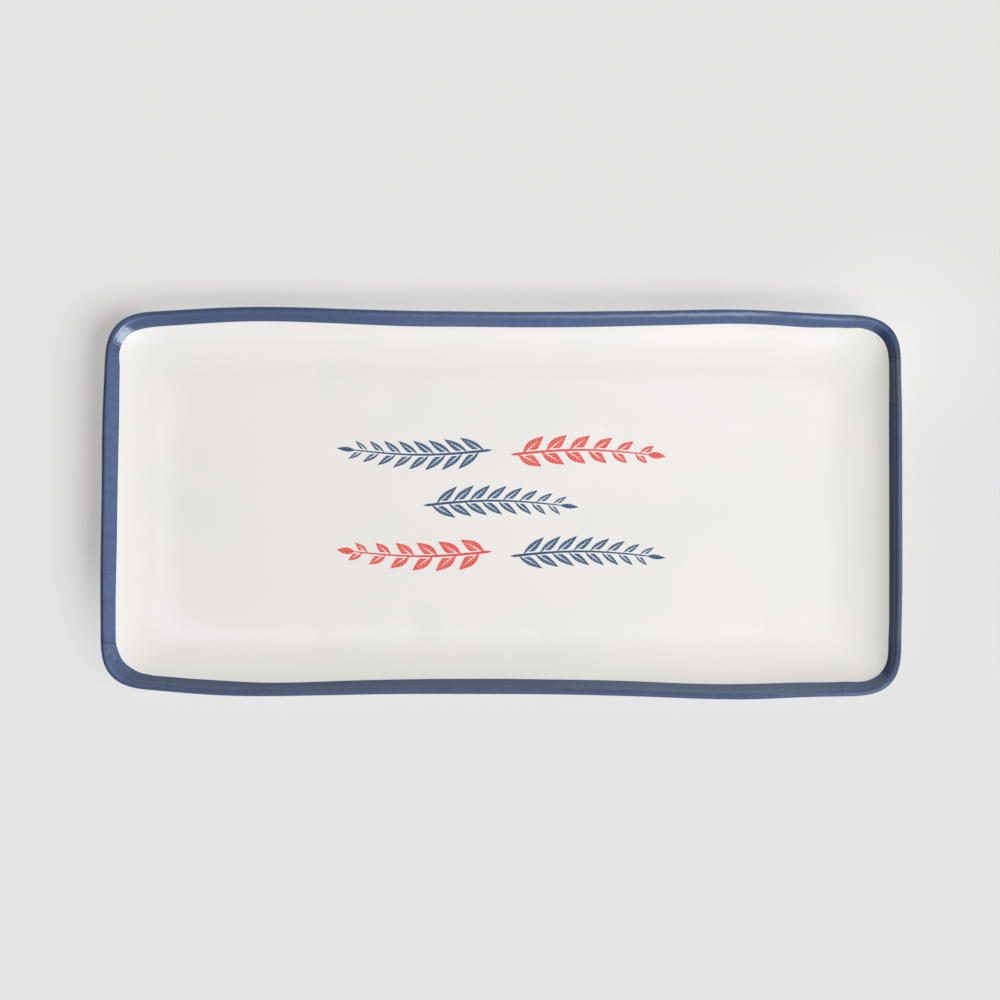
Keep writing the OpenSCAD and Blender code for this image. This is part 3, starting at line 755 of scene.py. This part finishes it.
# The sprigs of a row lie end to end with a gap, and the rows a leaf's spread and another gap apart.
SPRIG_GAP, ROW_GAP = 9.0, 8.0
COLUMN, ROW = (SPRIG + SPRIG_GAP) / 2, 2 * (NARROW_LEAF + STEM) * math.sin(LEAN) + ROW_GAP
# The first pair of leaves and the way from it to the last, as shares of the stem, and the lower leaf's lag.
FIRST_PAIR, PAIRS_SPAN, PAIR_LAG = 0.1, 0.83, 0.035
# The prints stand this far out of the face, and slabs that cross differ by a few microns.
PROUD = 0.03


def stem_place(share, run):
    """A point on the stem's middle line, half a sine wave over the run, and the stem's heading there."""
    rise = BOW * math.pi * np.cos(math.pi * share)
    return -SPRIG / 2 + run * share, BOW * np.sin(math.pi * share), np.arctan2(rise, run)


def stem_half(share):
    """Half the stem's width, which shrinks evenly to 0.45 of itself at the tip."""
    return STEM / 2 * (1 - 0.55 * share)


def print_slab(x, y, lift):
    """Rings round a thin slab: over its face and back along its underside. x and y are the face's grids."""
    top = FLOOR_Z * MM + unevenness(x * MM, y * MM) + lift * MM
    face = np.stack([x * MM, y * MM, top], -1)
    under = np.stack([x * MM, y * MM, np.full_like(x, (FLOOR_Z - FOIL) * MM)], -1)[:, [-1, 0]]
    return np.concatenate([face, under], axis=1)


def slab_faces(n, m, first):
    """Quads round a slab of n rings of m points, and one face across each end."""
    i, j = np.meshgrid(np.arange(n - 1), np.arange(m), indexing="ij")
    after = (j + 1) % m
    quads = np.stack([i * m + j, (i + 1) * m + j, (i + 1) * m + after, i * m + after], -1).reshape(-1, 4)
    ends = [list(range(first, first + m)), list(range(first + n * m - 1, first + (n - 1) * m - 1, -1))]
    return (quads + first).tolist() + ends


def leaf_grid(length, width, half, facing):
    """One half of a leaf, in its own axes: x runs from the stem's middle line to the tip, and y away from
    the rib. Its outer edge is half a sine wave of x to the power 0.85. Its inner edge is the bare rib,
    which thins out towards the tip. The half that faces the stem stops short of the stem."""
    foot = -half / math.sin(LEAN)
    clear = half + LEAF_GAP
    start = (clear + RIB / 2 * math.cos(LEAN)) / math.sin(LEAN) if facing else foot
    x = (start + (length - start) * np.sin(np.linspace(0, math.pi / 2, 26)) ** 1.2)[:, None]
    share = np.clip((x - foot) / (length - foot), 0, 1)
    outer = width / 2 * np.sin(math.pi * share ** 0.85)
    if facing:
        outer = np.minimum(outer, np.clip((x * math.sin(LEAN) - clear) / math.cos(LEAN), 0, None))
    inner = RIB / 2 * np.clip((0.84 * length - x) / (0.44 * length), 0, 1)
    y = np.minimum(inner, outer) + np.clip(outer - inner, 0, None) * np.linspace(0, 1, 5)[None, :]
    return np.broadcast_to(x, y.shape), y


def make_sprig(name, material, pairs, leaf_length, fill, across, up, turned):
    """A sprig at that column and row of the group, turned end for end or not. Its leaves shrink by a
    square of the way to the tip, and fill that share of the room that they have."""
    run = SPRIG - 0.6 * leaf_length
    pitch = run * PAIRS_SPAN / (pairs - 1)
    leaf_width = pitch * math.sin(LEAN) * fill
    turn = -1 if turned else 1
    points, faces, uv, shade = [], [], [], []

    def lay(x, y, lift, lines, tone):
        """Lays one slab, in the sprig's own axes, with its line drawing's coordinates and its tone."""
        ring = print_slab(across * COLUMN + turn * x, up * ROW + turn * (y - BOW / 2), lift)
        n, m = ring.shape[:2]
        faces.extend(slab_faces(n, m, sum(len(p) for p in points)))
        points.append(ring.reshape(-1, 3))
        uv.append(np.concatenate([lines, lines[:, [-1, 0]]], axis=1).reshape(-1, 2))
        shade.append(np.full(n * m, tone))

    share = np.sin(np.linspace(0, math.pi / 2, 40))[:, None] ** 1.1
    x, y, _ = stem_place(share, run)
    half = stem_half(share) * np.clip(1 - (2 * share - 1) ** 30, 0.02, 1) ** 0.5
    side = np.linspace(-1, 1, 5)[None, :]
    x = x + 0 * side
    far_from_rib = np.full_like(x, 40.0)
    lay(x, y + half * side, PROUD + 0.012, np.stack([x, far_from_rib], -1), 0.5)
    for i in range(pairs):
        for leaf_side in (1, -1):
            way = i / (pairs - 1)
            share = FIRST_PAIR + PAIRS_SPAN * way - (PAIR_LAG if leaf_side < 0 else 0.0)
            size = 1 - 0.4 * way * way
            stem_x, stem_y, heading = stem_place(share, run)
            angle = heading + leaf_side * LEAN
            for facing in (False, True):
                u, v = leaf_grid(leaf_length * size, leaf_width * size, stem_half(share), facing)
                mirrored = leaf_side * (-v if facing else v)
                x = stem_x + u * math.cos(angle) - mirrored * math.sin(angle)
                y = stem_y + u * math.sin(angle) + mirrored * math.cos(angle)
                if leaf_side * (-1 if facing else 1) < 0:
                    x, y, u, v = x[:, ::-1], y[:, ::-1], u[:, ::-1], v[:, ::-1]
                tone = (i * 0.37 + leaf_side * 0.21 + facing * 0.13) % 1
                lay(x, y, PROUD + 0.002 * (i % 2) + 0.004 * (leaf_side > 0), np.stack([u, v], -1), tone)
    tip_x, tip_y, heading = stem_place(1.0, run)
    tip_length = leaf_length * 0.6 + STEM
    u = np.linspace(0, 1, 22)[:, None]
    v = leaf_width * 0.3 * np.sin(math.pi * u ** 0.85) * side
    u = u * tip_length - STEM + 0 * side
    x = tip_x + u * math.cos(heading) - v * math.sin(heading)
    y = tip_y + u * math.sin(heading) + v * math.cos(heading)
    lay(x, y, PROUD + 0.008, np.stack([u, np.abs(v)], -1), 0.3)
    piece = make_piece(name + "_print", np.vstack(points), faces, material, [name], sharp=30)
    set_uv(piece.data, "leaf_lines", np.vstack(uv) * MM)
    set_vertex_values(piece.data, "tone", np.concatenate(shade))


# Block printer's ink lies a little unevenly, leaf by leaf, and light veins slant out from each rib.
def block_ink(name, full, thin, light):
    """A print's material, from the colours of full ink, thin ink and the light veins."""
    material, tree, shader = new_material(name, full, 0.22)
    where = place(tree)
    lines = add(tree, "UVMap", uv_map="leaf_lines").outputs[0]
    tone = vertex_value(tree, "tone")
    patches = use_group(tree, brushed, Place=where, Stretch=0.5)
    share = calc(tree, "ADD", times(tree, patches, 0.6), times(tree, tone, 0.35))
    ink = blend_colours(tree, share, full, thin)
    along, out, _ = split(tree, lines)
    slant = calc(tree, "SUBTRACT", along, times(tree, out, 1.35))
    phase = calc(tree, "PINGPONG", calc(tree, "DIVIDE", slant, 0.0019), 0.5)
    vein = ramp(tree, phase, 0.13, 0.05)
    inside = ramp(tree, out, 0.0002, 0.0005)
    inside = times(tree, inside, ramp(tree, out, 0.0021, 0.0015))
    vein = times(tree, times(tree, vein, inside), 0.75)
    tree.links.new(blend_colours(tree, vein, ink, light), shader.inputs["Base Color"])
    tree.links.new(calc(tree, "ADD", 0.2, times(tree, patches, 0.05)), shader.inputs["Roughness"])
    bump(tree, shader, use_group(tree, peel, Place=where, Depth=0.0000008))
    return material


navy_ink = block_ink("navy_ink", tint(38, 68, 108), tint(56, 90, 128), tint(140, 178, 190))
coral_ink = block_ink("coral_ink", tint(222, 66, 58), tint(232, 92, 80), tint(247, 190, 176))
make_sprig("sprig_back_left", navy_ink, 8, NARROW_LEAF, 0.8, -1, 1, True)
make_sprig("sprig_back_right", coral_ink, 6, BROAD_LEAF, 0.82, 1, 1, False)
make_sprig("sprig_centre", navy_ink, 8, NARROW_LEAF, 0.8, 0, 0, False)
make_sprig("sprig_front_left", coral_ink, 6, BROAD_LEAF, 0.82, -1, -1, True)
make_sprig("sprig_front_right", navy_ink, 8, NARROW_LEAF, 0.8, 1, -1, False)


# The studio: a big soft lamp lights the platter from the right and a little in front, and a bigger one
# the floor, on which the shadow falls to the left and a little to the back. Pale light comes from all round.
LAMP_AWAY = 2.8
# The lamp's and the sky's shares of the light on a level face, and the background's grey.
KEY_SHARE, SKY_SHARE, BACKDROP = 0.55, 0.45, 0.783


def aim(lamp, turn, tilt, away):
    """Puts a lamp that far from the origin, turned so far from the right and tilted so far from overhead,
    and aims it at the origin."""
    flat_away = away * math.sin(tilt)
    lamp.location = (flat_away * math.cos(turn), flat_away * math.sin(turn), away * math.cos(tilt))
    lamp.rotation_euler = (0.0, tilt, turn)
    return lamp


def soft_lamp(name, wide, turn, tilt, lit):
    """A round soft lamp, of the strength that gives a level face the lamp's share of the light. It lights
    only those pieces."""
    data = bpy.data.lights.new(name, "AREA")
    data.shape = "DISK"
    data.size = wide
    data.color = (1.0, 1.0, 1.015)
    data.energy = KEY_SHARE * math.pi ** 2 * LAMP_AWAY ** 2 / math.cos(tilt)
    made = new_object(name, data)
    made.visible_camera = False
    made.visible_glossy = False
    made.light_linking.receiver_collection = bpy.data.collections.new(name + "_lights")
    for piece in lit:
        made.light_linking.receiver_collection.objects.link(piece)
    return aim(made, turn, tilt, LAMP_AWAY)


floor_mesh = bpy.data.meshes.new("studio_floor")
floor_mesh.from_pydata([(-6, -6, 0), (6, -6, 0), (6, 6, 0), (-6, 6, 0)], [], [(0, 1, 2, 3)])
studio_floor = new_object("studio_floor", floor_mesh)
soft_lamp("platter_lamp", 1.4, math.radians(-30), math.radians(38),
          [piece for piece in scene.objects if piece.type == "MESH" and piece != studio_floor])
floor_lamp = soft_lamp("floor_lamp", 2.4, math.radians(-22), math.radians(38), [studio_floor])

# A low bright window at the front right, which only shows as a highlight in the back left corner. The
# floor doesn't hide its lower half, which is mirrored where the border is steepest. Its size is its
# height, and its size_y its breadth.
window_data = bpy.data.lights.new("window", "AREA")
window_data.shape = "RECTANGLE"
window_data.size = 1.7
window_data.size_y = 1.0
window_data.color = (0.95, 1.05, 0.98)
window_data.energy = 6.0 * math.pi * window_data.size * window_data.size_y
window = new_object("window", window_data)
window.visible_camera = False
window.visible_diffuse = False
corner_pieces = bpy.data.collections.new("window_lights")
for name in ("border_back_left_flap", "border_back_flap", "border_left_flap"):
    corner_pieces.objects.link(bpy.data.objects[name])
window.light_linking.receiver_collection = corner_pieces
window.light_linking.blocker_collection = corner_pieces
aim(window, math.radians(-42), math.radians(83), 1.5)

# The sky is even for matt surfaces. The glaze mirrors it darker on the left, brighter high in front, and
# overhead brighter towards the back right.
world = bpy.data.worlds.new("studio")
scene.world = world
world.use_nodes = True
tree = world.node_tree
direction = add(tree, "TexCoord").outputs["Generated"]
to_right, to_back, up = split(tree, direction)
to_left = vector_calc(tree, "DOT_PRODUCT", direction, (-0.98, -0.17, 0.0), output=1)
around = ramp(tree, to_back, 0.2, 0.6, 0.95, 0.6)
around = times(tree, around, ramp(tree, to_left, 0.45, 0.78, 1.0, 0.12))
slant = calc(tree, "ADD", times(tree, to_right, 0.85), to_back)
overhead = ramp(tree, slant, -0.13, 0.14, 0.3, 2.0)
mirrored = add(tree, "Mix", {0: ramp(tree, up, 0.965, 0.99), 2: around, 3: overhead}).outputs[0]
in_front = vector_calc(tree, "DOT_PRODUCT", direction, (0.333, -0.714, 0.616), output=1)
mirrored = calc(tree, "ADD", mirrored, ramp(tree, in_front, 0.88, 0.985, 0.0, 1.6))
mirrored = add(tree, "VectorMath", {0: (0.9, 0.98, 1.1), "Scale": mirrored},
               operation="SCALE").outputs[0]
path = add(tree, "LightPath").outputs
matt_sky = (SKY_SHARE, SKY_SHARE * 0.995, SKY_SHARE * 0.97, 1.0)
sky = blend_colours(tree, path["Is Glossy Ray"], matt_sky, mirrored)
seen = calc(tree, "MAXIMUM", path["Is Camera Ray"], path["Is Transmission Ray"])
sky = blend_colours(tree, seen, sky, (BACKDROP, BACKDROP, BACKDROP, 1.0))
tree.links.new(sky, tree.nodes["Background"].inputs["Color"])

# The floor glows by a share of its brightness, most in front, which keeps the shadow light. The rest is
# paint, darker nearer the lamp, whose light falls by a power of the distance, and a little lighter all
# over, so that the floor looks even.
PAINT_GAIN, LAMP_FALL = 1.087, -2.3
floor_paint, tree, shader = new_material("floor_paint", (BACKDROP, BACKDROP, BACKDROP, 1.0), 0.9)
where = place(tree)
to_right, to_back, _ = split(tree, where)
share = ramp(tree, to_back, -0.012, -0.082, 0.19, 0.85)
# Just behind the back edge the floor glows more, which is painted light that keeps the shadow lighter.
behind = times(tree, ramp(tree, to_back, 0.082, 0.09), ramp(tree, to_right, -0.19, -0.155))
share_behind = ramp(tree, to_back, 0.0935, 0.1025, 0.68, 0.0)
share = add(tree, "Mix", {0: behind, 2: share, 3: share_behind}).outputs[0]
glow = times(tree, share, BACKDROP)
shader.inputs["Specular IOR Level"].default_value = 0.0
shader.inputs["Emission Strength"].default_value = 1.0
# A painted pool of light also glows on the floor beside the back right corner, where the lip would throw it.
from_corner = vector_calc(tree, "DISTANCE", where, (0.193, 0.082, 0.0), output=1)
lit = calc(tree, "ADD", glow, ramp(tree, from_corner, 0.07, 0.0, 0.0, 0.058))
glow_colour = add(tree, "CombineColor", {0: lit, 1: lit, 2: times(tree, lit, 1.015)})
tree.links.new(glow_colour.outputs[0], shader.inputs["Emission Color"])
lamp_distance = vector_calc(tree, "DISTANCE", where, tuple(floor_lamp.location), output=1)
fall = calc(tree, "POWER", calc(tree, "DIVIDE", lamp_distance, LAMP_AWAY), LAMP_FALL)
light = calc(tree, "ADD", times(tree, fall, KEY_SHARE), SKY_SHARE)
grey = times(tree, calc(tree, "SUBTRACT", BACKDROP, glow), PAINT_GAIN)
grey = calc(tree, "DIVIDE", grey, light)
paint = add(tree, "CombineColor", {0: grey, 1: grey, 2: grey})
tree.links.new(paint.outputs[0], shader.inputs["Base Color"])
floor_mesh.materials.append(floor_paint)
